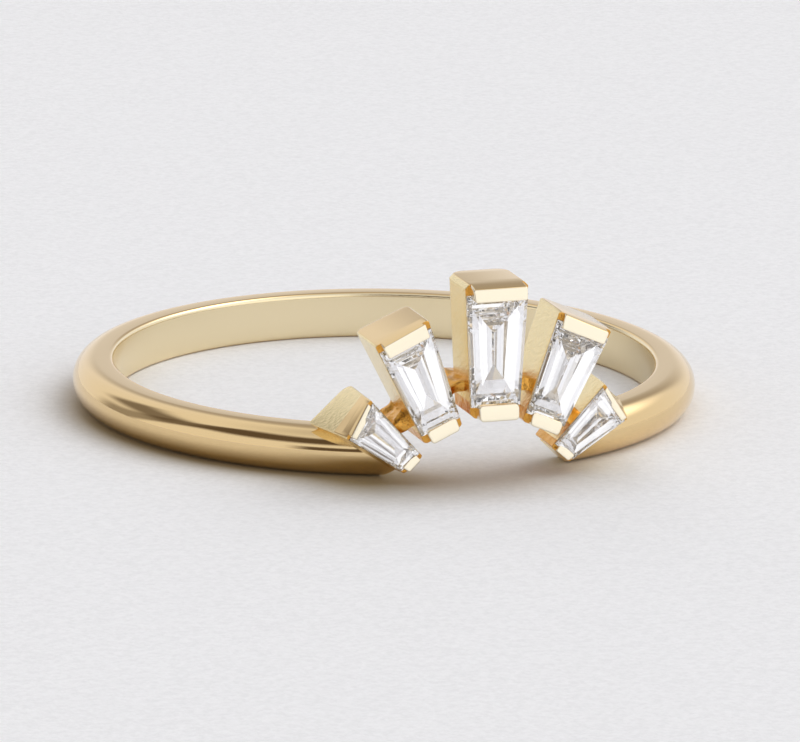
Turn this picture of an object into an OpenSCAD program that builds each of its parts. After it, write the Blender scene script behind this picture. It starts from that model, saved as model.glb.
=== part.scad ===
// Gold ring with five tapered baguette diamonds that fan out over an open arch, lying on its side.
// The finger hole's axis is Z and its middle is the origin. The stones face -Y and fan out towards +Z.

/* [Band] */
// Diameter of the finger hole, ring size 7
finger_d = 17.3; // [16.9:0.1:17.7]
// Height of the band along the finger
band_h = 1.5; // [1.4:0.05:1.6]
// Thickness of the band from the finger outwards
band_t = 1.3; // [1.2:0.05:1.5]
// Radius that softens the two edges round the finger hole
inner_round = 0.15; // [0.1:0.05:0.25]
// Half the width of the arch that stays open under the fan, between the tips of the band's ends
arch_half = 2.4; // [2.3:0.05:2.45]

/* [Fan] */
// How far the centre setting stands out from the finger hole
head_rise = 2.75; // [2.65:0.05:2.9]
// Depth of every setting, front to back
setting_depth = 2.35; // [2.25:0.05:2.45]
// Share of a setting's length that each of its two bars takes
bar_share = 0.115; // [0.1:0.005:0.13]

/* [Centre setting] */
// Height of its narrow end above the surface the ring lies on
centre_foot = 2.15; // [2.05:0.05:2.25]
// Length along the stone, bars included
centre_length = 4.28; // [4:0.02:4.5]
// Width of its narrow bar
centre_narrow = 1.26; // [1.2:0.02:1.3]
// Width of its wide bar
centre_wide = 1.76; // [1.7:0.02:1.84]
// How far its side walls stand proud of its bars
centre_proud = 0.16; // [0.12:0.01:0.2]
// Radius of its two rear edges
centre_round = 0.38; // [0.2:0.02:0.5]
// How far its stone's table lies behind the front of its bars
centre_sink = 0.3; // [0.24:0.01:0.34]

/* [Inner settings] */
// Sideways place of the narrow end's middle
inner_side = 1.59; // [1.55:0.01:1.65]
// Height of its narrow end's middle above the surface
inner_foot = 1.65; // [1.6:0.05:1.7]
// Lean away from the centre setting, in degrees
inner_lean = 23; // [22:0.5:24]
// Length along the stone, bars included
inner_length = 3.64; // [3.5:0.02:3.8]
// Width of its narrow bar
inner_narrow = 0.98; // [0.92:0.02:1]
// Width of its wide bar
inner_wide = 1.54; // [1.48:0.02:1.6]
// How far its side walls stand proud of its bars
inner_proud = 0.17; // [0.14:0.01:0.2]
// Radius of its two rear edges
inner_rear_round = 0.2; // [0.1:0.02:0.3]
// How far its stone's table lies behind the front of its bars
inner_sink = 0.18; // [0.14:0.01:0.22]
// How far its front lies behind the centre setting's
inner_back = 0.35; // [0.25:0.05:0.45]

/* [Outer settings] */
// Sideways place of the narrow end's middle
outer_side = 2.4; // [2.36:0.01:2.46]
// Height of its narrow end's middle above the surface
outer_foot = 0.63; // [0.6:0.01:0.66]
// Lean away from the centre setting, in degrees
outer_lean = 49; // [48:0.5:50]
// Length along the stone, bars included
outer_length = 2.45; // [2.4:0.01:2.6]
// Width of its narrow bar
outer_narrow = 0.52; // [0.5:0.01:0.56]
// Width of its wide bar
outer_wide = 1.14; // [1.1:0.02:1.2]
// How much further each of its bars turns than the setting leans, in degrees
outer_skew = 8; // [4:0.5:10]
// How far its side walls stand proud of its bars
outer_proud = 0.13; // [0.1:0.01:0.16]
// Radius of its upper rear edge
outer_rear_round = 0.3; // [0.1:0.02:0.4]
// How far its stone's table lies behind the front of its bars
outer_sink = 0.12; // [0.1:0.01:0.16]
// How far its rear spreads out over the band
outer_spread = 0.52; // [0.4:0.02:0.6]
// How far its front lies behind the centre setting's
outer_back = 0.95; // [0.85:0.05:1.05]

/* [Rail between the settings] */
// Height of the rail's centre of curvature above the surface
rail_centre = -0.38; // [-0.44:0.02:-0.32]
// Radius of the rail's middle line
rail_r = 3.54; // [3.5:0.01:3.58]
// Thickness of the rail
rail_t = 0.42; // [0.36:0.02:0.5]
// How far the rail's front lies outside the finger hole
rail_rise = 1.8; // [1.7:0.05:1.9]

/* [Stones] */
// How far a stone's ends reach under the bars
tuck = 0.12; // [0.08:0.01:0.14]
// Gap between a stone and its seat
seat_gap = 0.02; // [0.02:0.005:0.03]

/* [Hidden] */

$fn = 96;
gold = "#d9b878";
diamond = "#e6e9f2";

finger_r = finger_d / 2;
floor_z = -band_h / 2;
front_y = -(finger_r + head_rise);
// The fan stays this far outside the finger hole, so that the band alone is its wall.
skin = 0.25;
// Room that a cutting solid takes beyond what it cuts.
spare = 1;
// Each end of the band is filed to a tip inside an outer setting. For each millimetre below or above the tip,
// its face runs this far back, in line with the setting's narrow end and with its upper side.
tip_slope_low = 1.03;
tip_slope_high = 0.4;
// Bevel on the front edges of the bars, and the cut on each bar's corners as a share of its length.
lip_bevel = 0.06;
narrow_cut = 0.24;
wide_cut = 0.15;
// Cut on the long corners of the centre and inner blocks.
centre_cut = 0.14;
inner_cut = 0.06;
// A rear edge's round is this much larger than its radius, so that it meets each face at a faint edge.
rear_bulge = 1.03;
rear_share = 0.9;
// The rail's ends run this far past the outer settings' feet, and end this high above the surface.
rail_overrun = 0.7;
rail_low = 1.1;
// Strips in the twisted faces of the outer settings.
strips = 6;

// A setting's row: side, foot height, lean, length, narrow width, wide width, proud walls, sunk table,
// set back, rounding of the rear, cut on the four long corners, skew of the bars, and spread of the rear.
CENTRE = [0, centre_foot, 0, centre_length, centre_narrow, centre_wide, centre_proud, centre_sink,
    0, centre_round, centre_cut, 0, 0];
INNER = [inner_side, inner_foot, inner_lean, inner_length, inner_narrow, inner_wide, inner_proud, inner_sink,
    inner_back, inner_rear_round, inner_cut, 0, 0];
OUTER = [outer_side, outer_foot, outer_lean, outer_length, outer_narrow, outer_wide, outer_proud, outer_sink,
    outer_back, outer_rear_round, 0, outer_skew, outer_spread];
function side(s) = s[0];
function foot(s) = s[1];
function lean(s) = s[2];
function len_of(s) = s[3];
function narrow(s) = s[4];
function wide(s) = s[5];
function proud(s) = s[6];
function sink(s) = s[7];
function set_back(s) = s[8];
function rear_round(s) = s[9];
function corner_cut(s) = s[10];
function skew(s) = s[11];
function spread(s) = s[12];

// Half the width of a setting's bars at height z along it.
function half_bar(s, z) = (narrow(s) + (wide(s) - narrow(s)) * z / len_of(s)) / 2;
function taper(s) = atan((wide(s) - narrow(s)) / 2 / len_of(s));
function bar(s) = bar_share * len_of(s);
// A point's height once the bars are turned by the skew, the wide one and the narrow one opposite ways.
function lift(s, x, z) = z - x * tan(skew(s)) * (2 * z / len_of(s) - 1);

// The stones are cut in proportion to the width of their narrow end.
// Each step of the cut: depth from the girdle, inset of the long sides, inset of the ends.
TABLE = [-0.085, 0.2, 0.15];
CROWN_STEP = [-0.055, 0.08, 0.06];
GIRDLE_FRONT = [0, 0, 0];
GIRDLE_BACK = [0.04, 0, 0];
PAVILION_STEP = [0.26, 0.17, 0.25];
LOWER_STEP = [0.44, 0.33, 0.5];
CUT = [TABLE, CROWN_STEP, GIRDLE_FRONT, GIRDLE_BACK, PAVILION_STEP, LOWER_STEP];
// The last facets meet in a keel: how steeply they go down, and how far the keel's ends lie in.
keel_slope = 0.75;
keel_inset = 0.8;

// A stone's side is flush with the wall that carries it, less a thin rim of metal.
rim = 0.02;
// A wall begins this far behind the girdle, and an open back is this much narrower than the pavilion step.
wall_share = 0.02;
back_share = 1.5;
function girdle_half(s, z) = half_bar(s, z) + proud(s) - rim;
function cut_unit(s) = 2 * girdle_half(s, bar(s));
function girdle_depth(s) = sink(s) - TABLE[0] * cut_unit(s);
function wall_front(s) = girdle_depth(s) + (GIRDLE_BACK[0] + wall_share) * cut_unit(s);

// The half round profile of the band: a flat inner side with soft edges and a round outer side.
module band_profile() {
    straight = band_t - band_h / 2;
    translate([finger_r + inner_round, -band_h / 2]) square([straight - inner_round, band_h]);
    translate([finger_r, inner_round - band_h / 2]) square([straight, band_h - 2 * inner_round]);
    for (up = [-1, 1])
        translate([finger_r + inner_round, up * (band_h / 2 - inner_round)]) circle(inner_round);
    intersection() {
        translate([finger_r + straight, 0]) circle(band_h / 2);
        translate([finger_r + straight, -band_h / 2]) square([band_h, band_h]);
    }
}

// The band stops at the arch, where the fan carries on from side to side.
module band() {
    tip = outer_foot + floor_z;
    low = arch_half + tip_slope_low * (tip + band_h);
    high = arch_half + tip_slope_high * (band_h - tip);
    difference() {
        rotate_extrude($fn = 180) band_profile();
        deep(front_y, 0) polygon([
            [-low, -band_h], [low, -band_h], [arch_half, tip], [high, band_h], [-high, band_h], [-arch_half, tip]
        ]);
    }
}

// Places a setting, drawn upright at the origin with its front at y = 0, in the fan.
module placed(s) {
    translate([side(s), front_y + set_back(s), foot(s) + floor_z]) rotate([0, lean(s), 0]) children();
}

// Extrudes an outline drawn in x and z from one depth to another.
module deep(from, to) {
    translate([0, to, 0]) rotate([90, 0, 0]) linear_extrude(to - from) children();
}

// A bar or wall outline: a tapered plate between two heights, with its four corners cut.
module plate(s, z0, z1, more, cut) {
    w0 = half_bar(s, z0) + more;
    w1 = half_bar(s, z1) + more;
    outline = [
        [-w0 + cut, z0], [w0 - cut, z0], [w0, z0 + cut], [w1, z1 - cut],
        [w1 - cut, z1], [-w1 + cut, z1], [-w1, z1 - cut], [-w0, z0 + cut]
    ];
    polygon([for (p = outline) [p[0], lift(s, p[0], p[1])]]);
}

// One end bar, whose front edges are bevelled.
module end_bar(s, z0, z1, cut) {
    deep(lip_bevel, setting_depth) plate(s, z0, z1, 0, cut);
    deep(0, setting_depth) plate(s, z0 + lip_bevel, z1 - lip_bevel, -lip_bevel, cut);
}

// What the rounding of a rear edge takes away from a wall.
module rear_corner(s) {
    r = rear_round(s);
    translate([half_bar(s, 0) + proud(s), 0, 0]) rotate([0, taper(s), 0]) translate([0, 0, -spare])
        linear_extrude(len_of(s) + 2 * spare) difference() {
            translate([-rear_share * r, setting_depth - rear_share * r]) square(r + spare);
            translate([-r, setting_depth - r]) circle(rear_bulge * r);
        }
}

// The block of an outer setting spreads to its rear, level with the surface, and so meets the band.
module spreading_block(s) {
    w0 = half_bar(s, 0) + proud(s);
    w1 = half_bar(s, len_of(s)) + proud(s);
    away = spread(s) * [cos(lean(s)), 0, sin(lean(s))];
    points = [for (i = [0:strips]) let (
        t = i / strips,
        y = wall_front(s) + (setting_depth - wall_front(s)) * t
    ) each [
        [-w0, y, lift(s, -w0, 0)],
        [-w1, y, lift(s, -w1, len_of(s))],
        [w1, y, lift(s, w1, len_of(s))] + away * t,
        [w0, y, lift(s, w0, 0)] + away * t
    ]];
    end = 4 * strips;
    walls = [for (i = [0:strips - 1]) for (j = [0:3]) let (
        a = 4 * i + j,
        b = 4 * i + (j + 1) % 4
    ) each [[a, a + 4, b + 4], [a, b + 4, b]]];
    polyhedron(points, concat([[0, 1, 2, 3]], walls, [[end + 3, end + 2, end + 1, end]]), convexity = 4);
}

// The metal of one setting: a block behind the girdle, and a bar at each end that reaches the front.
module setting_metal(s) {
    difference() {
        union() {
            if (spread(s) > 0) spreading_block(s);
            else deep(wall_front(s), setting_depth) plate(s, 0, len_of(s), proud(s), corner_cut(s));
            end_bar(s, 0, bar(s), narrow_cut * bar(s));
            end_bar(s, len_of(s) - bar(s), len_of(s), wide_cut * bar(s));
        }
        mirror([1, 0, 0]) rear_corner(s);
        if (spread(s) == 0) rear_corner(s);
    }
}

// The corners of one step of a stone, clockwise seen from the front, grown by the given gap.
function step_corners(s, step, gap) = let (
    u = cut_unit(s),
    z0 = bar(s) - tuck + step[2] * u - gap,
    z1 = len_of(s) - bar(s) + tuck - step[2] * u + gap,
    inset = (step[1] * u - gap) / cos(taper(s)),
    y = girdle_depth(s) + step[0] * u,
    w0 = girdle_half(s, z0) - inset,
    w1 = girdle_half(s, z1) - inset
) [[-w0, y, lift(s, -w0, z0)], [-w1, y, lift(s, -w1, z1)], [w1, y, lift(s, w1, z1)], [w0, y, lift(s, w0, z0)]];

// The keel's two ends lie where the last long facets meet.
function keel_point(s, z, gap) = let (
    u = cut_unit(s),
    run = girdle_half(s, z) * cos(taper(s)) - LOWER_STEP[1] * u + gap
) [0, girdle_depth(s) + LOWER_STEP[0] * u + keel_slope * run, z];

// A tapered baguette: table, two crown steps, girdle, two pavilion steps and a keel.
module baguette(s, gap) {
    u = cut_unit(s);
    front = [0, -gap, 0];
    keel_z0 = bar(s) - tuck + keel_inset * u;
    keel_z1 = len_of(s) - bar(s) + tuck - keel_inset * u;
    corners = [for (step = CUT) for (p = step_corners(s, step, gap)) p + (step[0] < 0 ? front : -front)];
    keel = [for (z = [keel_z0, keel_z1]) keel_point(s, z, gap) - front];
    last = 4 * (len(CUT) - 1);
    k = 4 * len(CUT);
    walls = [for (i = [0:len(CUT) - 2]) for (j = [0:3])
        [4 * i + j, 4 * i + 4 + j, 4 * i + 4 + (j + 1) % 4, 4 * i + (j + 1) % 4]];
    keel_faces = [
        [last, k, k + 1, last + 1], [last + 1, k + 1, last + 2],
        [last + 2, k + 1, k, last + 3], [last + 3, k, last]
    ];
    polyhedron(concat(corners, keel), concat([[0, 1, 2, 3]], walls, keel_faces), convexity = 4);
}

// The open back of a setting, which lets light in behind the stone.
module open_back(s) {
    inset = PAVILION_STEP[1] * cut_unit(s);
    z0 = bar(s) + inset;
    z1 = len_of(s) - bar(s) - inset;
    w0 = girdle_half(s, z0) - back_share * inset;
    w1 = girdle_half(s, z1) - back_share * inset;
    deep(girdle_depth(s), setting_depth + spare)
        polygon([[-w0, z0], [w0, z0], [w1, z1], [-w1, z1]]);
}

// The rail that joins neighbouring settings, low down and set back, curved with the arch and the finger.
module rail() {
    reach = outer_side + rail_overrun;
    low = rail_low + floor_z;
    intersection() {
        translate([0, 0, rail_centre + floor_z]) rotate([90, 0, 0]) difference() {
            cylinder(h = -front_y, r = rail_r + rail_t / 2);
            translate([0, 0, -spare]) cylinder(h = spare - front_y + spare, r = rail_r - rail_t / 2);
        }
        translate([-reach, front_y, low]) cube([2 * reach, -front_y, rail_r]);
        cylinder(h = 2 * rail_r, r = finger_r + rail_rise);
    }
}

// The settings and the rail that joins them, clear of the finger.
module fan() {
    difference() {
        union() {
            placed(CENTRE) setting_metal(CENTRE);
            for (s = [INNER, OUTER]) {
                placed(s) setting_metal(s);
                mirror([1, 0, 0]) placed(s) setting_metal(s);
            }
            rail();
        }
        translate([0, 0, -band_h]) cylinder(h = 4 * band_h + centre_length, r = finger_r + skin, $fn = 180);
    }
}

// All the metal is cast and soldered into one solid, with a seat and an open back for each stone.
module band_and_settings() {
    color(gold) difference() {
        union() {
            band();
            fan();
        }
        placed(CENTRE) seat(CENTRE);
        for (s = [INNER, OUTER]) {
            placed(s) seat(s);
            mirror([1, 0, 0]) placed(s) seat(s);
        }
    }
}

module seat(s) {
    baguette(s, seat_gap);
    open_back(s);
}

module diamond_centre() {
    color(diamond) placed(CENTRE) baguette(CENTRE, 0);
}

module diamond_inner_left() {
    color(diamond) mirror([1, 0, 0]) placed(INNER) baguette(INNER, 0);
}

module diamond_inner_right() {
    color(diamond) placed(INNER) baguette(INNER, 0);
}

module diamond_outer_left() {
    color(diamond) mirror([1, 0, 0]) placed(OUTER) baguette(OUTER, 0);
}

module diamond_outer_right() {
    color(diamond) placed(OUTER) baguette(OUTER, 0);
}

band_and_settings();
diamond_centre();
diamond_inner_left();
diamond_inner_right();
diamond_outer_left();
diamond_outer_right();
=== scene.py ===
# %% [markdown]
# This script dresses a small gold ring that lies on its side: a half round band, and a fan of five settings
# that each hold one tapered baguette diamond. The ring nests against another ring, so its band stays open
# in front, under an arch. Each step below says what the real piece is, how it could be made in Blender,
# and why it is made the way it is. All sizes are in millimetres until the very end.

# %% Load the CAD frame
import bpy
import bmesh
import math
from mathutils import Matrix, Vector


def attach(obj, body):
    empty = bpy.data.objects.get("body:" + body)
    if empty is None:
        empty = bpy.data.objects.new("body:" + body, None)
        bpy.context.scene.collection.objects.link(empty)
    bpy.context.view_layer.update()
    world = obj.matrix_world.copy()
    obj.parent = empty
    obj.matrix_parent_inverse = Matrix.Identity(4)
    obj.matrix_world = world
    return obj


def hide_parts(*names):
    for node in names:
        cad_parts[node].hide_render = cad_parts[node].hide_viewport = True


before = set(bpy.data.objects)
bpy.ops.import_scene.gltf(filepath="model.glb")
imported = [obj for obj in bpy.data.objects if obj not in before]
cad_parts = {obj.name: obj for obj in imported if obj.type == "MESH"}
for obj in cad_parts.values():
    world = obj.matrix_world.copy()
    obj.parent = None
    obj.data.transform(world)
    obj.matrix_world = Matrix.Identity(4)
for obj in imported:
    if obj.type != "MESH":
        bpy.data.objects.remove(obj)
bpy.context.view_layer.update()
MM = 0.001
print("CAD nodes:", sorted(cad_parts))

# %% [markdown]
# The ring's driving sizes are the same as in its CAD source. They are written again here, because this
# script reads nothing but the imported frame. A setting is one row of values, so that the five settings can
# share every function that follows.

# %% Sizes of the band, the rail and the settings
FINGER_R = 8.65
BAND_H = 1.5
BAND_T = 1.3
INNER_ROUND = 0.15
ARCH_HALF = 2.4
FLOOR_Z = -BAND_H / 2
FAN_REACH = 2.75
FRONT_Y = -(FINGER_R + FAN_REACH)
DEPTH = 2.35
BAR_SHARE = 0.115
SKIN = 0.25
RAIL_Z, RAIL_R, RAIL_T, RAIL_RISE = -0.38, 3.54, 0.42, 1.8
RAIL_SWEEP = 61
TIP_SLOPE_LOW, TIP_SLOPE_HIGH = 1.03, 0.4
TUCK = 0.12
RIM = 0.02
CROWN = 0.085

# FAN_REACH is how far the fan stands out before the finger, DEPTH how deep a block is, BAR_SHARE the share of
# a setting's length that each bar takes, and SKIN how far the fan keeps off the finger. A stone's ends tuck
# under the bars by TUCK, its sides lie in from the block's by RIM, and CROWN is the height of its upper part
# as a share of its width. The two slopes shape the tips of the band.

# In a setting's row, side and foot place its lower end, lean is its slant in degrees, and back is how far it
# stands behind the centre. The bars are narrow below and wide above. The block stands proud of them at each
# side, has a round of the radius rear along its rear edges, and a flat cut off its end corners. The stone's
# table lies a little behind the lips, by sink. Skew turns the ends by some degrees, and spread widens the
# rear. Roll is how far the top of the wide bar drops at its lip, reach is how far behind the lip that drop
# starts, and fold is how much further the wide bar comes down over the stone.
CENTRE = dict(side=0, foot=2.15, lean=0, length=4.28, narrow=1.26, wide=1.76, proud=0.16, sink=0.3,
              back=0, rear=0.38, cut=0.14, skew=0, spread=0, roll=0.15, reach=1.0, fold=0)
INNER = dict(side=1.59, foot=1.65, lean=23, length=3.64, narrow=0.98, wide=1.54, proud=0.17, sink=0.18,
             back=0.35, rear=0.2, cut=0.06, skew=0, spread=0, roll=0.13, reach=1.0, fold=0.07)
OUTER = dict(side=2.4, foot=0.63, lean=49, length=2.45, narrow=0.52, wide=1.14, proud=0.13, sink=0.12,
             back=0.95, rear=0.3, cut=0.04, skew=8, spread=0.52, roll=0.09, reach=0.9, fold=0)
# Each setting in the fan: its row, and the side that it stands on.
FAN = {
    "centre": (CENTRE, 1),
    "inner_right": (INNER, 1),
    "inner_left": (INNER, -1),
    "outer_right": (OUTER, 1),
    "outer_left": (OUTER, -1),
}
print("settings:", len(FAN), "front of the centre setting at y =", FRONT_Y)

# %% [markdown]
# The camera comes first, because every later choice is judged through it. A ring like this is photographed
# with a long macro lens, here from a little above the surface and a little to the left. The place, the lens
# and the small roll below were fitted to the outline of the band and to the settings' corners.

# %% Camera at the photograph's angle
CAMERA_PLACE = Vector((-92.02, -275.99, 72.77)) * MM
CAMERA_AIM = Vector((0.541, 0, 0.224)) * MM
CAMERA_ROLL = 0.741
LENS_LENGTH = 421.9
SENSOR_WIDTH = 36

lens = bpy.data.cameras.new("camera")
lens.lens = LENS_LENGTH
lens.sensor_width = SENSOR_WIDTH
lens.sensor_fit = "HORIZONTAL"
lens.clip_start = 0.01
camera = bpy.data.objects.new("camera", lens)
bpy.context.scene.collection.objects.link(camera)
look = (CAMERA_AIM - CAMERA_PLACE).to_track_quat("-Z", "Y").to_matrix().to_4x4()
look = look @ Matrix.Rotation(math.radians(CAMERA_ROLL), 4, "Z")
camera.matrix_world = Matrix.Translation(CAMERA_PLACE) @ look
bpy.context.scene.camera = camera
print("camera distance in mm:", round((CAMERA_AIM - CAMERA_PLACE).length / MM))


# %% [markdown]
# Every finish below is a tree of shader nodes. Three small helpers keep them readable: one turns the hex
# colour that an artist would pick into the linear colour that the renderer counts in, one adds a node with
# its settings and its links in a single line, and one starts a new material.

# %% Helpers for colours and nodes
def linear(code):
    """An sRGB hex colour as a linear RGBA colour."""
    channels = [int(code[i:i + 2], 16) / 255 for i in (0, 2, 4)]
    return (*[c / 12.92 if c <= 0.04045 else ((c + 0.055) / 1.055) ** 2.4 for c in channels], 1)


def add(tree, kind, inputs=None, **settings):
    """Adds one node. An input is a plain value, or another node's output socket, which is linked to it."""
    node = tree.nodes.new(kind)
    for name, value in settings.items():
        setattr(node, name, value)
    for key, value in (inputs or {}).items():
        if isinstance(value, bpy.types.NodeSocket):
            tree.links.new(value, node.inputs[key])
        else:
            node.inputs[key].default_value = value
    return node


def new_material(name):
    """An empty material with its output node."""
    material = bpy.data.materials.new(name)
    material.use_nodes = True
    material.node_tree.nodes.clear()
    return material, material.node_tree, material.node_tree.nodes.new("ShaderNodeOutputMaterial")


print("mid grey in linear light:", [round(c, 3) for c in linear("808080")[:3]])

# %% [markdown]
# Polished metal shows nothing but its surroundings, so the light is half of the finish. A jeweller's light
# tent is bright and even all round. The camera looks in through its open front, and so the metal also sees
# the dim room over the camera: that draws the dark line along the round of the band, and gives the stones
# their contrast. A bright panel stands at the front right and makes the small front bars gleam, and a lamp
# high on the right makes the soft shadows. Lamps and cards could stand in the scene as objects, but here
# each of them is a patch of the sky with soft edges, so that nothing stands in the camera's way. The four
# helpers add to the tree that is being made at the time, and all their limits are in degrees.

# %% Helpers for the surroundings
world = bpy.data.worlds.new("light tent")
bpy.context.scene.world = world
world.use_nodes = True
tree = world.node_tree
tree.nodes.clear()
direction = add(tree, "ShaderNodeTexCoord").outputs["Generated"]
axis = add(tree, "ShaderNodeSeparateXYZ", {0: direction}).outputs
height = add(tree, "ShaderNodeMath", {0: axis["Z"]}, operation="ARCSINE").outputs[0]
forward = add(tree, "ShaderNodeMath", {0: axis["Y"], 1: -1.0}, operation="MULTIPLY").outputs[0]
around = add(tree, "ShaderNodeMath", {0: axis["X"], 1: forward}, operation="ARCTAN2").outputs[0]


def blend(value, start, end, low, high):
    """Goes from low to high as an angle of the tree goes from start to end."""
    return add(tree, "ShaderNodeMapRange",
               {0: value, 1: math.radians(start), 2: math.radians(end), 3: low, 4: high},
               interpolation_type="SMOOTHSTEP").outputs[0]


def product(*factors):
    """Multiplies masks and plain shares."""
    result = factors[0]
    for factor in factors[1:]:
        result = add(tree, "ShaderNodeMath", {0: result, 1: factor}, operation="MULTIPLY").outputs[0]
    return result


def between(value, low, high, soft):
    """A mask that is 1 where an angle lies between two others, with soft edges."""
    above = blend(value, low - soft, low + soft, 0.0, 1.0)
    below = blend(value, high - soft, high + soft, 1.0, 0.0)
    return product(above, below)


def over(below, mask, colour):
    """Lays a colour over what is below it, where the mask is 1."""
    return add(tree, "ShaderNodeMix", {0: mask, 6: below, 7: colour}, data_type="RGBA").outputs[2]


def bright(code, strength):
    """A colour of light: an sRGB hex colour times its strength."""
    return (*[c * strength for c in linear(code)[:3]], 1)


print("the front is at 0 degrees around, and the right at 90")

# %% Soft studio surroundings
WALL = bright("fcfcff", 0.965)
ROOF = bright("fcfcff", 0.7)
ROOM = bright("c0aa94", 0.24)
PANEL = bright("ffffff", 1.2)
LAMP = bright("ffffff", 3.0)

tent = over(WALL, blend(height, 55, 82, 0.0, 1.0), ROOF)
# The dim room shows through the tent's open front, in a band that lies high in front and falls to the left.
room_middle = blend(around, -138, -92, math.radians(2), math.radians(45))
off_middle = add(tree, "ShaderNodeMath", {0: height, 1: room_middle}, operation="SUBTRACT").outputs[0]
room_sides = product(between(around, -144, -6, 8), blend(around, -125, -95, 0.7, 1.0))
room = product(between(off_middle, -13, 14, 6), room_sides)
# The camera itself is a darker spot in the middle of the front.
camera_spot = product(between(height, 4, 19, 3), between(around, -50, 4, 6))
panel = product(blend(height, 38, 50, 1.0, 0.0), between(around, -2, 62, 6))
lamp = product(between(height, 36, 64, 14), between(around, 74, 126, 16))
# Two gaps in the tent, at the back right and at the left, darken the tops of the settings at their lips.
gap = product(between(height, 16, 66, 12), between(around, 136, 174, 8), 0.58)
left_gap = product(between(height, 23, 44, 6), between(around, -153, -110, 6), 0.85)
for mask in (room, camera_spot, gap, left_gap):
    tent = over(tent, mask, ROOM)
tent = over(over(tent, panel, PANEL), lamp, LAMP)
light = add(tree, "ShaderNodeBackground", {"Color": tent, "Strength": 1.0})
add(tree, "ShaderNodeOutputWorld", {"Surface": light.outputs[0]})
bpy.context.scene.view_settings.view_transform = "Standard"
print("light tent: wall", round(WALL[1], 2), "roof", round(ROOF[1], 2), "panel", round(PANEL[1], 2))

# %% [markdown]
# The ring lies on a plain pale surface, such as smooth white plaster board. It is one large square, so that
# its edge never comes into view or into a reflection. One fine noise gives both its tone and its relief.
# Close to the ring, on the side away from the lamp, a warm shadow is painted into its colour, which the
# soft light of the tent alone would leave out.

# %% Pale plaster board
FLOOR_SIZE = 3000
PORE = 0.22
PORE_DEPTH = 0.03
# The painted shadow reaches this far from the ring, and grows in over this far on the side away from the
# lamp.
PAINTED_SHADOW_REACH = 4
PAINTED_SHADOW_GROWS = 8
AWAY_FROM_LAMP = (-0.8, -0.6, 0)

floor_mesh = bpy.data.meshes.new("floor")
edge = FLOOR_SIZE / 2 * MM
outline = [(-edge, -edge), (edge, -edge), (edge, edge), (-edge, edge)]
floor_mesh.from_pydata([(x, y, FLOOR_Z * MM) for x, y in outline], [], [(0, 1, 2, 3)])
floor = bpy.data.objects.new("floor", floor_mesh)
bpy.context.scene.collection.objects.link(floor)
plaster, tree, output = new_material("smooth white plaster board")
place = add(tree, "ShaderNodeTexCoord").outputs["Object"]
grain = add(tree, "ShaderNodeTexNoise",
            {"Vector": place, "Scale": 1 / (PORE * MM), "Detail": 4.0, "Roughness": 0.7}).outputs["Fac"]
tone = add(tree, "ShaderNodeMapRange", {0: grain, 1: 0.35, 2: 0.65}).outputs[0]
colour = over(linear("f3f3f4"), tone, linear("fdfdfe"))
# Painted shadow: where ambient occlusion finds the ring near, on its side away from the lamp, the colour
# turns to a warm grey brown.
shelter = add(tree, "ShaderNodeAmbientOcclusion", {"Distance": PAINTED_SHADOW_REACH * MM}).outputs["AO"]
closed = add(tree, "ShaderNodeMapRange", {0: shelter, 1: 0.4, 2: 0.95, 3: 1.0, 4: 0.0}).outputs[0]
away = add(tree, "ShaderNodeVectorMath", {0: place, 1: AWAY_FROM_LAMP}, operation="DOT_PRODUCT")
far_side = add(tree, "ShaderNodeMapRange", {0: away.outputs["Value"], 1: 0, 2: PAINTED_SHADOW_GROWS * MM}).outputs[0]
floor_with_painted_shadow = over(colour, product(closed, far_side), linear("ad9e80"))
relief = add(tree, "ShaderNodeBump", {"Height": grain, "Strength": 0.4, "Distance": PORE_DEPTH * MM})
matte = add(tree, "ShaderNodeBsdfPrincipled",
            {"Base Color": floor_with_painted_shadow, "Roughness": 0.75, "Normal": relief.outputs[0]})
tree.links.new(matte.outputs[0], output.inputs["Surface"])
floor_mesh.materials.append(plaster)
print("floor at z =", FLOOR_Z, "mm")

# %% [markdown]
# The metal is 14 carat yellow gold, which is paler and a little greener than pure gold. It is cast, filed
# and then polished, and its places are finished differently. The band is mirror polished, with only hair
# fine wheel marks, and so are the tops of the settings, at least near their lips. The front bars and the
# seats have a satin polish that spreads the light of the bright panel over them. The inside of the band was
# only polished with a felt stick, so it is a little dull too, but warmer. The sides of the settings are
# filed and brushed: fine slanting scratches that scatter some white light, so they look paler. The feet of
# the settings and the rail, which no tool reaches, keep the uneven skin of the casting. Their deeper, more
# orange yellow is painted: it stands in for the shade and the reflections of the gold around these low,
# hidden places.

# %% Five finishes of 14 carat gold
GOLD = "e8cb98"
SATIN_GOLD = "f0e6cf"
INSIDE_GOLD = "f1e1bc"
FILED_GOLD = "f5e2b0"
# The cast gold's deeper orange is painted shade and painted reflection of the gold around the low parts.
CAST_GOLD_WITH_PAINTED_SHADE = "dba24c"
CLOUD = 2.5


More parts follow.
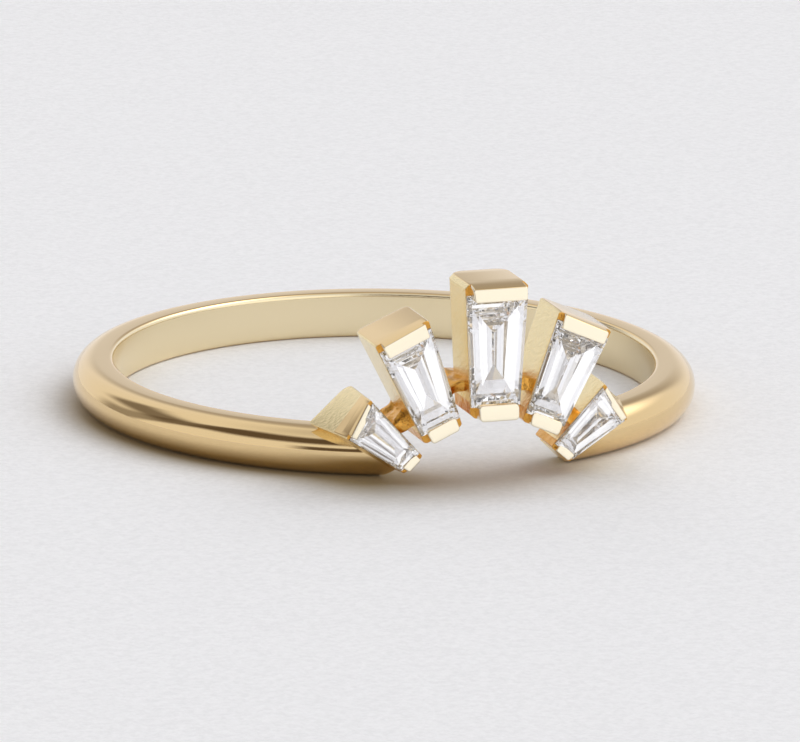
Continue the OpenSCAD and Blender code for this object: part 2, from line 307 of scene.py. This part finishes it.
def gold(name, code, roughness, spread, scratch, relief, turn=0, deep=0.01):
    """Yellow gold under scratches of stretched noise. scratch is their width and length and deep their depth,
    in millimetres, and turn is their slant in degrees. The roughness varies in clouds, by spread."""
    material, tree, output = new_material(name)
    wide, long = scratch
    place = add(tree, "ShaderNodeTexCoord").outputs["Object"]
    slant = (math.radians(turn), 0, 0)
    turned = add(tree, "ShaderNodeMapping", {"Vector": place, "Rotation": slant}).outputs[0]
    scale = [1 / (wide * MM), 1 / (long * MM), 1 / (wide * MM)]
    grain = add(tree, "ShaderNodeMapping", {"Vector": turned, "Scale": scale}).outputs[0]
    noise = add(tree, "ShaderNodeTexNoise",
                {"Vector": grain, "Scale": 1.0, "Detail": 4.0, "Roughness": 0.65}).outputs["Fac"]
    cloud = add(tree, "ShaderNodeTexNoise",
                {"Vector": place, "Scale": 1 / (CLOUD * MM), "Detail": 2.0}).outputs["Fac"]
    mixed = add(tree, "ShaderNodeMath", {0: noise, 1: cloud}, operation="MULTIPLY").outputs[0]
    rough = add(tree, "ShaderNodeMapRange", {0: mixed, 1: 0.1, 2: 0.5, 3: roughness, 4: roughness + spread})
    bump = add(tree, "ShaderNodeBump", {"Height": noise, "Strength": relief, "Distance": deep * MM})
    metal = add(tree, "ShaderNodeBsdfPrincipled", {
        "Base Color": linear(code), "Metallic": 1.0,
        "Roughness": rough.outputs[0], "Normal": bump.outputs[0]})
    tree.links.new(metal.outputs[0], output.inputs["Surface"])
    return material


METALS = [
    gold("mirror polished yellow gold", GOLD, 0.06, 0.06, (0.05, 0.6), 0.04),
    gold("satin yellow gold", SATIN_GOLD, 0.2, 0.08, (0.03, 0.3), 0.1, 20),
    gold("brushed yellow gold", FILED_GOLD, 0.14, 0.12, (0.08, 1.2), 0.8, 35, 0.03),
    gold("cast yellow gold with painted shade", CAST_GOLD_WITH_PAINTED_SHADE, 0.04, 0.08, (0.3, 0.3), 1.0, 0, 0.05),
    gold("felt polished yellow gold", INSIDE_GOLD, 0.18, 0.08, (0.03, 0.3), 0.1, 20),
]
POLISHED, SATIN, BRUSHED, CAST_WITH_PAINTED_SHADE, INSIDE = range(5)
print("gold finishes:", [m.name for m in METALS])

# %% [markdown]
# Diamond is clear, and all of its life is light that is bent on the way in, turned round by the facets at
# the back, and bent again on the way out. It bends light more than any glass: its index of refraction is
# 2.417. A ray may bounce a dozen times inside a step cut stone, so the renderer is allowed more bounces
# than it has by default, or the stones would turn grey.

# %% Clear diamond
diamond, tree, output = new_material("clear step cut diamond")
stone = add(tree, "ShaderNodeBsdfPrincipled", {
    "Base Color": linear("fdfdff"), "Roughness": 0.0, "IOR": 2.417, "Transmission Weight": 1.0})
tree.links.new(stone.outputs[0], output.inputs["Surface"])
cycles = bpy.context.scene.cycles
cycles.max_bounces = 32
cycles.glossy_bounces = 24
cycles.transmission_bounces = 24
print("diamond index of refraction:", stone.inputs["IOR"].default_value)


# %% [markdown]
# The band follows a plain rule: one half round profile, swept round the finger and left open at the arch.
# Turning it on a lathe and cutting it afterwards would do too, but a Geometry Nodes tree says the rule
# itself. A rectangle whose corners are filleted makes the profile: the two outer corners have half the
# height as their radius, which makes the half round, and the inner two are only softened. The sizes are
# named inputs, so the same tree makes a band of any ring size.

# %% Helpers for Geometry Nodes
def new_geometry_tree(name, sizes):
    """A geometry tree with one named number input for each size. Returns the tree and the inputs by name."""
    tree = bpy.data.node_groups.new(name, "GeometryNodeTree")
    tree.interface.new_socket("Geometry", in_out="OUTPUT", socket_type="NodeSocketGeometry")
    for size, value in sizes.items():
        kind = "NodeSocketInt" if isinstance(value, int) else "NodeSocketFloat"
        tree.interface.new_socket(size, in_out="INPUT", socket_type=kind)
    return tree, tree.nodes.new("NodeGroupInput").outputs


def finish_tree(tree, geometry, material):
    """Ends a tree in real, smooth geometry with its material."""
    real = add(tree, "GeometryNodeRealizeInstances", {"Geometry": geometry})
    finished = add(tree, "GeometryNodeSetMaterial", {"Geometry": real.outputs[0], "Material": material})
    add(tree, "NodeGroupOutput", {0: finished.outputs[0]})


def mesh_from_tree(tree, sizes):
    """Evaluates a geometry tree at the given sizes and returns its result as a plain object."""
    host = bpy.data.objects.new(tree.name, bpy.data.meshes.new(tree.name))
    bpy.context.scene.collection.objects.link(host)
    modifier = host.modifiers.new(tree.name, "NODES")
    modifier.node_group = tree
    for socket in tree.interface.items_tree:
        if socket.in_out == "INPUT":
            modifier[socket.identifier] = sizes[socket.name]
    return made_plain(host)


def made_plain(host):
    """Turns an object with modifiers into one with a plain mesh."""
    view = bpy.context.evaluated_depsgraph_get()
    mesh = bpy.data.meshes.new_from_object(host.evaluated_get(view))
    host.modifiers.clear()
    host.data = mesh
    return host


print("geometry helpers are ready")

# %% The half round band
# The wire is a little longer than the finished band, because its ends are still to be filed.
WIRE_SPARE = 0.4
# Two fillets of exactly half the height would meet in a doubled point.
NEARLY_HALF = 0.4999
BAND_SIZES = {"Finger Radius": FINGER_R, "Height": BAND_H, "Thickness": BAND_T, "Inner Round": INNER_ROUND,
              "Arch Half": ARCH_HALF - WIRE_SPARE, "Steps Around": 360, "Steps Per Corner": 16}
tree, size = new_geometry_tree("half round band", BAND_SIZES)
profile = add(tree, "GeometryNodeCurvePrimitiveQuadrilateral",
              {"Width": size["Thickness"], "Height": size["Height"]}, mode="RECTANGLE")
position = add(tree, "GeometryNodeInputPosition").outputs[0]
across = add(tree, "ShaderNodeSeparateXYZ", {0: position})
is_outer = add(tree, "FunctionNodeCompare", {0: across.outputs["X"], 1: 0.0}, operation="GREATER_THAN")
half_height = add(tree, "ShaderNodeMath", {0: size["Height"], 1: NEARLY_HALF}, operation="MULTIPLY")
corner = add(tree, "GeometryNodeSwitch",
             {"Switch": is_outer.outputs[0], "False": size["Inner Round"], "True": half_height.outputs[0]},
             input_type="FLOAT")
rounded = add(tree, "GeometryNodeFilletCurve", {
    "Curve": profile.outputs[0], "Count": size["Steps Per Corner"], "Radius": corner.outputs[0]}, mode="POLY")
half_thick = add(tree, "ShaderNodeMath", {0: size["Thickness"], 1: 0.5, 2: size["Finger Radius"]},
                 operation="MULTIPLY_ADD")
share = add(tree, "ShaderNodeMath", {0: size["Arch Half"], 1: half_thick.outputs[0]}, operation="DIVIDE")
half_arch = add(tree, "ShaderNodeMath", {0: share.outputs[0]}, operation="ARCSINE").outputs[0]
start = add(tree, "ShaderNodeMath", {0: half_arch, 1: -math.pi / 2}, operation="ADD")
sweep = add(tree, "ShaderNodeMath", {0: half_arch, 1: -2.0, 2: 2 * math.pi}, operation="MULTIPLY_ADD")
path = add(tree, "GeometryNodeCurveArc", {
    "Resolution": size["Steps Around"], "Radius": half_thick.outputs[0], "Start Angle": start.outputs[0],
    "Sweep Angle": sweep.outputs[0]}, mode="RADIUS")
swept = add(tree, "GeometryNodeCurveToMesh",
            {"Curve": path.outputs[0], "Profile Curve": rounded.outputs[0], "Fill Caps": True})
finish_tree(tree, swept.outputs[0], METALS[POLISHED])
band = mesh_from_tree(tree, BAND_SIZES)
# The side that touches the finger is duller than the polished rest.
band.data.materials.append(METALS[INSIDE])
for face in band.data.polygons:
    face.material_index = int(math.hypot(face.center.x, face.center.y) < FINGER_R + INNER_ROUND / 3)
print("band:", len(band.data.polygons), "faces, size", [round(v, 2) for v in band.dimensions])

# %% [markdown]
# The rail is a short flat bar, bent to the curve of the arch, that the settings stand on. Its front also
# follows the finger. It too is a rule: a small rectangle swept along an arc, whose points are then pushed
# back onto round shells about the finger. Set Position does that last step, with a little school geometry:
# a point at sideways place x on a shell of radius R lies at a depth of the square root of R² - x². A noise
# then pushes the points about, because the solder leaves the rail lumpy. Sculpting would do that too, but
# the noise gives the same lumps each time.

# %% The rail between the settings
RAIL_SIZES = {"Arc Radius": RAIL_R, "Arc Height": RAIL_Z + FLOOR_Z, "Half Sweep": math.radians(RAIL_SWEEP),
              "Thickness": RAIL_T, "Front Shell": FINGER_R + RAIL_RISE, "Back Shell": FINGER_R + SKIN / 2,
              "Edge Round": 0.05, "Lumps": 0.34, "Steps": 80}
# The profile is one unit high at first, and that unit is stretched from shell to shell later.
tree, size = new_geometry_tree("rail under the settings", RAIL_SIZES)
profile = add(tree, "GeometryNodeCurvePrimitiveQuadrilateral",
              {"Width": size["Thickness"], "Height": 1.0}, mode="RECTANGLE")
softened = add(tree, "GeometryNodeFilletCurve",
               {"Curve": profile.outputs[0], "Count": 4, "Radius": size["Edge Round"]}, mode="POLY")
even = add(tree, "GeometryNodeResampleCurve", {"Curve": softened.outputs[0], "Count": 48})
start = add(tree, "ShaderNodeMath", {0: math.pi / 2, 1: size["Half Sweep"]}, operation="SUBTRACT")
sweep = add(tree, "ShaderNodeMath", {0: size["Half Sweep"], 1: 2.0}, operation="MULTIPLY")
path = add(tree, "GeometryNodeCurveArc", {
    "Resolution": size["Steps"], "Radius": size["Arc Radius"], "Start Angle": start.outputs[0],
    "Sweep Angle": sweep.outputs[0]}, mode="RADIUS")
swept = add(tree, "GeometryNodeCurveToMesh",
            {"Curve": path.outputs[0], "Profile Curve": even.outputs[0], "Fill Caps": True})
# The arc lies flat: its own x and y become x and z on the ring, and its own z becomes the depth.
position = add(tree, "GeometryNodeInputPosition").outputs[0]
spot = add(tree, "ShaderNodeSeparateXYZ", {0: position}).outputs
shell = add(tree, "ShaderNodeMapRange",
            {0: spot["Z"], 1: -0.5, 2: 0.5, 3: size["Back Shell"], 4: size["Front Shell"]}).outputs[0]
shell_squared = add(tree, "ShaderNodeMath", {0: shell, 1: 2.0}, operation="POWER").outputs[0]
side_squared = add(tree, "ShaderNodeMath", {0: spot["X"], 1: spot["X"]}, operation="MULTIPLY").outputs[0]
rest = add(tree, "ShaderNodeMath", {0: shell_squared, 1: side_squared}, operation="SUBTRACT").outputs[0]
depth = add(tree, "ShaderNodeMath", {0: rest}, operation="SQRT").outputs[0]
behind = add(tree, "ShaderNodeMath", {0: depth, 1: -1.0}, operation="MULTIPLY").outputs[0]
level = add(tree, "ShaderNodeMath", {0: spot["Y"], 1: size["Arc Height"]}, operation="ADD").outputs[0]
on_shell = add(tree, "ShaderNodeCombineXYZ", {0: spot["X"], 1: behind, 2: level}).outputs[0]
bent = add(tree, "GeometryNodeSetPosition", {"Geometry": swept.outputs[0], "Position": on_shell})
# The noise has three channels, and each one pushes the points along one axis.
noise = add(tree, "ShaderNodeTexNoise", {"Scale": 2.0, "Detail": 0.0}).outputs["Color"]
middled = add(tree, "ShaderNodeVectorMath", {0: noise, 1: (0.5, 0.5, 0.5)}, operation="SUBTRACT").outputs[0]
push = add(tree, "ShaderNodeVectorMath", {0: middled, "Scale": size["Lumps"]}, operation="SCALE").outputs[0]
lumpy = add(tree, "GeometryNodeSetPosition", {"Geometry": bent.outputs[0], "Offset": push})
# Triangles stay flat when they are pushed about, and only flat faces can be joined cleanly later.
flat_faces = add(tree, "GeometryNodeTriangulate", {0: lumpy.outputs[0]})
# The rail takes the cast finish: a lumpy cast skin, with painted shade in its deeper colour.
finish_tree(tree, flat_faces.outputs[0], METALS[CAST_WITH_PAINTED_SHADE])
rail = mesh_from_tree(tree, RAIL_SIZES)
print("rail:", len(rail.data.polygons), "faces, size", [round(v, 2) for v in rail.dimensions])


# %% [markdown]
# Each setting is a little casting of its own: a solid block behind the stone, and two bars that reach
# round the stone's ends to the front. A subdivision cage could make it, but the flat faces and crisp small
# edges of jeweller's work come more easily from lofts: closed skins over a stack of rounded outlines.
# Everything is drawn upright first, with x across the stone, y going back from the front of the bars and z
# along the stone. The ends of block and bars then lie in one plane, and join without a seam.

# %% Helpers for outlines and lofts
# A face whose normal reaches this far along an axis counts as facing that way.
FACING = 0.8


def half_bar(row, z):
    """Half the width of the bars at height z along a setting."""
    return (row["narrow"] + (row["wide"] - row["narrow"]) * z / row["length"]) / 2


def bar_length(row):
    """How long each of the two bars is, along the setting."""
    return BAR_SHARE * row["length"]


def girdle_half(row, z):
    """Half the width of the stone's girdle at height z along a setting."""
    return half_bar(row, z) + row["proud"] - RIM


def stone_width(row):
    """The width of the stone's narrow end. The steps of its cut are shares of it."""
    return 2 * girdle_half(row, bar_length(row))


def rounded_outline(corners, radii, steps):
    """A flat polygon whose corners are rounded. The corners are pairs, in order."""
    points = []
    for i, (corner, radius) in enumerate(zip(corners, radii)):
        here = Vector(corner)
        before = (Vector(corners[i - 1]) - here).normalized()
        after = (Vector(corners[(i + 1) % len(corners)]) - here).normalized()
        half = before.angle(after) / 2
        middle = here + (before + after).normalized() * radius / math.sin(half)
        first = here + before * radius / math.tan(half) - middle
        last = here + after * radius / math.tan(half) - middle
        turn = first.angle(last)
        for k in range(steps + 1):
            t = k / steps
            arc = first * math.sin((1 - t) * turn) + last * math.sin(t * turn)
            points.append(middle + arc / math.sin(turn))
    return points


def add_walls(skin, rings):
    """Adds the walls of a stack of rings to a skin, and a cap over the first. Returns the rings' points."""
    rows = [[skin.verts.new(point) for point in ring] for ring in rings]
    for low, high in zip(rows, rows[1:]):
        for i in range(len(low)):
            j = (i + 1) % len(low)
            skin.faces.new((low[i], low[j], high[j], high[i]))
    skin.faces.new(rows[0])
    return rows


def solid(name, skin, finish):
    """Turns a closed skin into a piece. finish gives the metal of a face from its normal and middle."""
    bmesh.ops.recalc_face_normals(skin, faces=skin.faces)
    for face in skin.faces:
        face.material_index = finish(face.normal, face.calc_center_median())
    mesh = bpy.data.meshes.new(name)
    skin.to_mesh(mesh)
    skin.free()
    for metal in METALS:
        mesh.materials.append(metal)
    piece = bpy.data.objects.new(name, mesh)
    bpy.context.scene.collection.objects.link(piece)
    return piece


def all_over(metal):
    """A finish with the same metal on every face."""
    return lambda normal, middle: metal


def loft(name, rings, finish):
    """A closed piece over a stack of rings."""
    skin = bmesh.new()
    rows = add_walls(skin, rings)
    skin.faces.new(rows[-1])
    return solid(name, skin, finish)


def prism(name, corners, front, rear, finish):
    """A closed piece with a flat outline in x and z, from one depth to another."""
    return loft(name, [[(x, y, z) for x, z in corners] for y in (front, rear)], finish)


def slice_skin(skin, place, normal):
    """Cuts the faces of a skin along a plane, and keeps both sides."""
    geometry = skin.verts[:] + skin.edges[:] + skin.faces[:]
    bmesh.ops.bisect_plane(skin, geom=geometry, plane_co=place, plane_no=normal)


def combine(base, others, operation):
    """Joins solids to the base or cuts them out of it, and removes them."""
    for i, other in enumerate(others):
        modifier = base.modifiers.new(f"{operation} {i}", "BOOLEAN")
        modifier.operation = operation
        modifier.solver = "EXACT"
        modifier.material_mode = "TRANSFER"
        modifier.object = other
    made_plain(base)
    for other in others:
        bpy.data.objects.remove(other)
    return base


print("centre bar length:", round(bar_length(CENTRE), 2), "mm")


# %% [markdown]
# A bar's front, which jewellers call its lip, is not flat: polishing leaves it slightly domed, with rounded
# corners, and it leans back a little, which is what makes it catch the bright panel. The loft starts with the
# dome's small rings in front, goes round the edge, and runs straight back into the block. The centre's wide
# lip also has a fine crease along it, above which it leans back further. The top of each wide bar rolls off
# towards its lip, so that it mirrors the dim room there and darkens to a brown edge.

# %% One bar with its domed lip
LIP_EDGE = 0.03
LIP_DOME = 0.006
LIP_RINGS = 6
EDGE_RINGS = 4
NECK_RINGS = 8
CORNER_STEPS = 6
LEAST_ROUND = 0.01
LIP_LEAN = 12
CREASE_LEAN = 5
# How far behind the girdle the block begins, as a share of the stone's width.
BEHIND_GIRDLE = 0.06
# How far a bar reaches into the block.
OVERLAP = 0.3


def block_front(row):
    """How far behind the lips the block begins, just behind the stone's girdle."""
    return row["sink"] + (CROWN + BEHIND_GIRDLE) * stone_width(row)


def lip_bar(name, row, z0, z1, corner, crease=0):
    """A bar between two heights, from its domed front to just inside the block."""
    def outline(inset, y):
        w0, w1 = half_bar(row, z0) - inset, half_bar(row, z1) - inset
        corners = [(-w0, z0 + inset), (w0, z0 + inset), (w1, z1 - inset), (-w1, z1 - inset)]
        radius = max(corner - inset, LEAST_ROUND)
        return [(x, y, z) for x, z in rounded_outline(corners, [radius] * 4, CORNER_STEPS)]

    flat = (z1 - z0) / 2 - LIP_EDGE
    rings = []
    for k in range(LIP_RINGS):
        t = (k + 1) / (LIP_RINGS + 1)
        rings.append(outline(LIP_EDGE + flat * (1 - t), LIP_DOME * t * t))
    for k in range(EDGE_RINGS + 1):
        turn = k / EDGE_RINGS * math.pi / 2
        rings.append(outline(LIP_EDGE * (1 - math.sin(turn)), LIP_DOME + LIP_EDGE * (1 - math.cos(turn))))
    neck, rear = block_front(row), block_front(row) + OVERLAP
    first = LIP_DOME + LIP_EDGE
    rings += [outline(0, first + (neck - first) * (k + 1) / NECK_RINGS) for k in range(NECK_RINGS)]
    rings.append(outline(0, rear))
    piece = loft(name, rings, lambda normal, middle: POLISHED if abs(normal.z) > FACING else SATIN)
    lean_back(piece, row, z0, z1 - crease, rear)
    return piece


def lean_back(piece, row, z0, crease, rear):
    """Leans a lip back from its lowest corner up, and more so above a crease."""
    lean = math.radians(row["lean"])
    lowest = z0 * math.cos(lean) - half_bar(row, z0) * math.sin(lean)
    skin = bmesh.new()
    skin.from_mesh(piece.data)
    slice_skin(skin, (0, 0, crease), (0, 0, 1))
    for point in skin.verts:
        height = point.co.z * math.cos(lean) - point.co.x * math.sin(lean)
        back = (height - lowest) * math.tan(math.radians(LIP_LEAN))
        back += max(0, point.co.z - crease) * math.tan(math.radians(CREASE_LEAN))
        point.co.y += back * (1 - point.co.y / rear)
    bmesh.ops.triangulate(skin, faces=skin.faces)
    skin.to_mesh(piece.data)
    skin.free()


print("the centre's block begins", round(block_front(CENTRE), 2), "mm behind its lips")

# %% [markdown]
# The block carries the stone's sides on its two walls. Its rear edges are rounded, and the corners of its
# ends are cut off flat, most of all on the centre setting, where that gives the pale strip beside the top. A
# bevelled box would do too, but a loft tapers the block and cuts its corners in the same go.

# %% One block
BLOCK_EDGE = 0.03
EDGE_STEPS = 3
ROUND_STEPS = 10
BLOCK_LEVELS = 10
FRONT_ROUND = 0.02
PLAIN_REAR = 0.05
# The lowest part of the block, as a share of its length, which no tool reaches. It takes the cast finish,
# whose deeper colour is painted shade.
FOOT_SHARE = 0.12


def block(name, row, both_sides):
    """The block behind the stone. both_sides rounds both rear edges, or else only the upper one."""
    front, length, cut = block_front(row), row["length"], row["cut"]
    turns = [k / EDGE_STEPS * math.pi / 2 for k in range(EDGE_STEPS + 1)]
    ends = [(BLOCK_EDGE * (1 - math.cos(a)), BLOCK_EDGE * (1 - math.sin(a))) for a in turns] + [(cut, 0)]
    levels = ends + [(cut + (length - 2 * cut) * k / BLOCK_LEVELS, 0) for k in range(1, BLOCK_LEVELS)]
    levels += [(length - z, inset) for z, inset in reversed(ends)]
    radii = [FRONT_ROUND, row["rear"], row["rear"] if both_sides else PLAIN_REAR, FRONT_ROUND]
    rings = []
    for z, inset in levels:
        from_end = min(z, length - z)
        w = half_bar(row, z) + row["proud"] - inset - max(0, cut - from_end)
        corners = [(-w, front), (-w, DEPTH - inset), (w, DEPTH - inset), (w, front)]
        rings.append([(x, y, z) for x, y in rounded_outline(corners, radii, ROUND_STEPS)])
    smooth = POLISHED if both_sides else BRUSHED

    def finish(normal, middle):
        # The feet and the front faces of the block take the cast finish, with its painted shade.
        if middle.z < FOOT_SHARE * length or normal.y < -FACING:
            return CAST_WITH_PAINTED_SHADE
        return smooth if normal.z > FACING else BRUSHED

    return loft(name, rings, finish)


print("levels in a block:", 2 * (EDGE_STEPS + 2) + BLOCK_LEVELS - 1)

# %% [markdown]
# The stone's seat is the stone's own shape, grown by the thickness of a hair, and an open window behind it
# that lets light in. The faces of a copy of the CAD's stone could be pushed out, but a table grows every
# step by the same gap, and the window can take its size from it too. Each row of the table is one step of
# the stone's cut: its depth behind the girdle, its inset at the sides and its inset at the ends, all in
# shares of the width of the stone's narrow end.

# %% Seat and open back
STEPS = [(-CROWN, 0.2, 0.15), (-0.055, 0.08, 0.06), (0, 0, 0),
         (0.04, 0, 0), (0.26, 0.17, 0.25), (0.44, 0.33, 0.5)]
KEEL_SLOPE, KEEL_INSET = 0.75, 0.8
SEAT_GAP = 0.02
WINDOW_STEP = 4
WINDOW_MARGIN = 1.5
PAST_REAR = 1


def lift(row, x, z):
    """Turns the ends of a skewed setting, the wide one and the narrow one opposite ways."""
    return z - x * math.tan(math.radians(row["skew"])) * (2 * z / row["length"] - 1)


def seat(name, row):
    """The grown stone as a cutting solid."""
    bar, length, gap, unit = bar_length(row), row["length"], SEAT_GAP, stone_width(row)
    taper = math.atan((row["wide"] - row["narrow"]) / 2 / length)
    girdle = row["sink"] + CROWN * unit
    rings = []
    for depth, side, end in STEPS:
        z0 = bar - TUCK + end * unit - gap
        z1 = length - bar + TUCK - end * unit + gap
        inset = (side * unit - gap) / math.cos(taper)
        w0, w1 = girdle_half(row, z0) - inset, girdle_half(row, z1) - inset
        y = girdle + depth * unit + (-gap if depth < 0 else gap)
        corners = [(-w0, z0), (-w1, z1), (w1, z1), (w0, z0)]
        rings.append([(x, y, lift(row, x, z)) for x, z in corners])
    skin = bmesh.new()
    last = add_walls(skin, rings)[-1]
    keel = []
    for z in (bar - TUCK + KEEL_INSET * unit, length - bar + TUCK - KEEL_INSET * unit):
        run = girdle_half(row, z) * math.cos(taper) - STEPS[-1][1] * unit + gap
        keel.append(skin.verts.new((0, girdle + STEPS[-1][0] * unit + KEEL_SLOPE * run + gap, z)))
    for corners in ((last[0], keel[0], keel[1], last[1]), (last[1], keel[1], last[2]),
                    (last[2], keel[1], keel[0], last[3]), (last[3], keel[0], last[0])):
        skin.faces.new(corners)
    return solid(name, skin, all_over(SATIN))


def open_back(name, row):
    """The window behind the stone."""
    bar, length = bar_length(row), row["length"]
    inset = STEPS[WINDOW_STEP][1] * stone_width(row)
    z0, z1 = bar + inset, length - bar - inset
    w0, w1 = (girdle_half(row, z) - WINDOW_MARGIN * inset for z in (z0, z1))
    corners = [(-w0, z0), (w0, z0), (w1, z1), (-w1, z1)]
    girdle = row["sink"] + CROWN * stone_width(row)
    return prism(name, corners, girdle, DEPTH + PAST_REAR, all_over(SATIN))


print("the centre stone's narrow end is", round(stone_width(CENTRE), 2), "mm wide")

# %% [markdown]
# A setting is filed after it is cast, which rolls its top off towards the lip. The outer settings are not
# straight blocks either: their ends are turned a little, and their rear spreads out, level with the surface,
# until it meets the band. Each setting is joined upright first. Then it is sliced into strips, so that it
# can bend. Every point is moved by one rule for the roll, and by the two rules that the CAD source has. A
# lattice could bend it too, but only a rule can follow the CAD to the last digit.

# %% Join each setting, bend it and put it in its place
SLICES = 20
# The corners of the lips have a round that is a share of the bar's length. Only the centre's lip is creased.
LOW_CORNER, TOP_CORNER = 0.27, 0.15
CREASE_DROP = 0.17


def bent_to_shape(piece, row):
    """Rolls off the top of a joined setting, and applies its skew and its spread."""
    front, bar = block_front(row), bar_length(row) + row["fold"]
    skin = bmesh.new()
    skin.from_mesh(piece.data)
    for k in range(1, SLICES):
        slice_skin(skin, (0, DEPTH * k / SLICES, 0), (0, 1, 0))
    for point in skin.verts:
        share = max(0, 1 - point.co.y / row["reach"])
        point.co.z -= row["roll"] * share ** 3 * max(0, 1 - (row["length"] - point.co.z) / bar)
    for face in skin.faces:
        middle = face.calc_center_median()
        if face.normal.z > FACING and middle.z > row["length"] - bar / 2 and middle.y < row["reach"]:
            face.material_index = POLISHED
    lean = math.radians(row["lean"])
    away = Vector((math.cos(lean), 0, math.sin(lean))) * row["spread"]
    for point in skin.verts:
        x, y, z = point.co
        half = half_bar(row, z) + row["proud"]
        across = min(max((x + half) / (2 * half), 0), 1)
        back = max(0, (y - front) / (DEPTH - front))
        point.co = Vector((x, y, lift(row, x, z))) + away * across * back
    bmesh.ops.triangulate(skin, faces=skin.faces)
    skin.to_mesh(piece.data)
    skin.free()


def put_in_fan(piece, row, side):
    """Moves an upright piece's mesh to its place in the fan, and mirrors it on the left side."""
    place = Matrix.Translation((row["side"], FRONT_Y + row["back"], row["foot"] + FLOOR_Z))
    place = place @ Matrix.Rotation(math.radians(row["lean"]), 4, "Y")
    if side < 0:
        place = Matrix.Scale(-1, 4, (1, 0, 0)) @ place
    piece.data.transform(place)
    if side < 0:
        piece.data.flip_normals()
    return piece


def setting(name, row):
    """The upright metal of one setting, before its seat is cut."""
    bar, length = bar_length(row), row["length"]
    metal = block(f"{name}_block", row, row["spread"] == 0)
    crease = CREASE_DROP if row is CENTRE else 0
    bars = [lip_bar(f"{name}_low", row, 0, bar, LOW_CORNER * bar),
            lip_bar(f"{name}_top", row, length - bar - row["fold"], length, TOP_CORNER * bar, crease)]
    combine(metal, bars, "UNION")
    bent_to_shape(metal, row)
    return metal


settings = [put_in_fan(setting(name, row), row, side) for name, (row, side) in FAN.items()]
cutters = []
for name, (row, side) in FAN.items():
    for cut in (seat(f"{name}_seat", row), open_back(f"{name}_back", row)):
        cutters.append(put_in_fan(cut, row, side))
for piece in settings:
    print(piece.name, len(piece.data.polygons), "faces")

# %% [markdown]
# All the metal is soldered into one solid, so it is joined here into one mesh too. A voxel remesh would join
# it as well, but would blur the crisp edges that an exact boolean keeps. The fan is first trimmed by a round
# cutter a quarter of a millimetre larger than the finger, so that nothing but the band's own smooth side
# ever touches the skin. Smooth shading is then weighted by area, which keeps the flats flat.

# %% Trim the fan and join it to the band
SHARP = 32
TRIM_STEPS = 360
# Points closer than this are one point.
SAME_POINT = 1e-5

skin = bmesh.new()
bmesh.ops.create_cone(skin, cap_ends=True, segments=TRIM_STEPS, radius1=FINGER_R + SKIN,
                      radius2=FINGER_R + SKIN, depth=4 * CENTRE["length"])
# The faces that the trimmer cuts take the cast finish, with its painted shade.
trimmer = solid("trimmer", skin, all_over(CAST_WITH_PAINTED_SHADE))
fan = combine(settings[0], settings[1:] + [rail], "UNION")
combine(fan, [trimmer] + cutters, "DIFFERENCE")
# Each end of the band is filed to a tip that lies inside an outer setting.
tip = OUTER["foot"] + FLOOR_Z
low = ARCH_HALF + TIP_SLOPE_LOW * (tip + BAND_H)
high = ARCH_HALF + TIP_SLOPE_HIGH * (BAND_H - tip)
corners = [(-low, -BAND_H), (low, -BAND_H), (ARCH_HALF, tip),
           (high, BAND_H), (-high, BAND_H), (-ARCH_HALF, tip)]
combine(band, [prism("file", corners, FRONT_Y, 0, all_over(BRUSHED))], "DIFFERENCE")
ring = combine(band, [fan], "UNION")
ring.name = ring.data.name = "ring_metal"
skin = bmesh.new()
skin.from_mesh(ring.data)
bmesh.ops.remove_doubles(skin, verts=skin.verts, dist=SAME_POINT)
bmesh.ops.dissolve_degenerate(skin, edges=skin.edges, dist=SAME_POINT)
loose = [edge for edge in skin.edges if not edge.is_manifold]
print("open edges:", len(loose), "volume in mm3:", round(skin.calc_volume(), 1))
skin.to_mesh(ring.data)
skin.free()
ring.data.transform(Matrix.Scale(MM, 4))
ring.data.shade_smooth()
ring.data.set_sharp_from_angle(angle=math.radians(SHARP))
weighted = ring.modifiers.new("weighted normals", "WEIGHTED_NORMAL")
weighted.keep_sharp = True
made_plain(ring)
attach(ring, "root")
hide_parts("band_and_settings")
print("ring metal:", len(ring.data.polygons), "faces, materials", [m.name for m in ring.data.materials])

# %% [markdown]
# The stones are used as the CAD made them, because a cut stone is nothing but flat facets. They only need
# flat shading, so that each facet is a plane mirror, and the diamond material.

# %% Give the stones their diamond
for name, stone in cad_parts.items():
    if name.startswith("diamond"):
        stone.data.shade_flat()
        stone.data.materials.clear()
        stone.data.materials.append(diamond)
        print(name, len(stone.data.polygons), "facets")
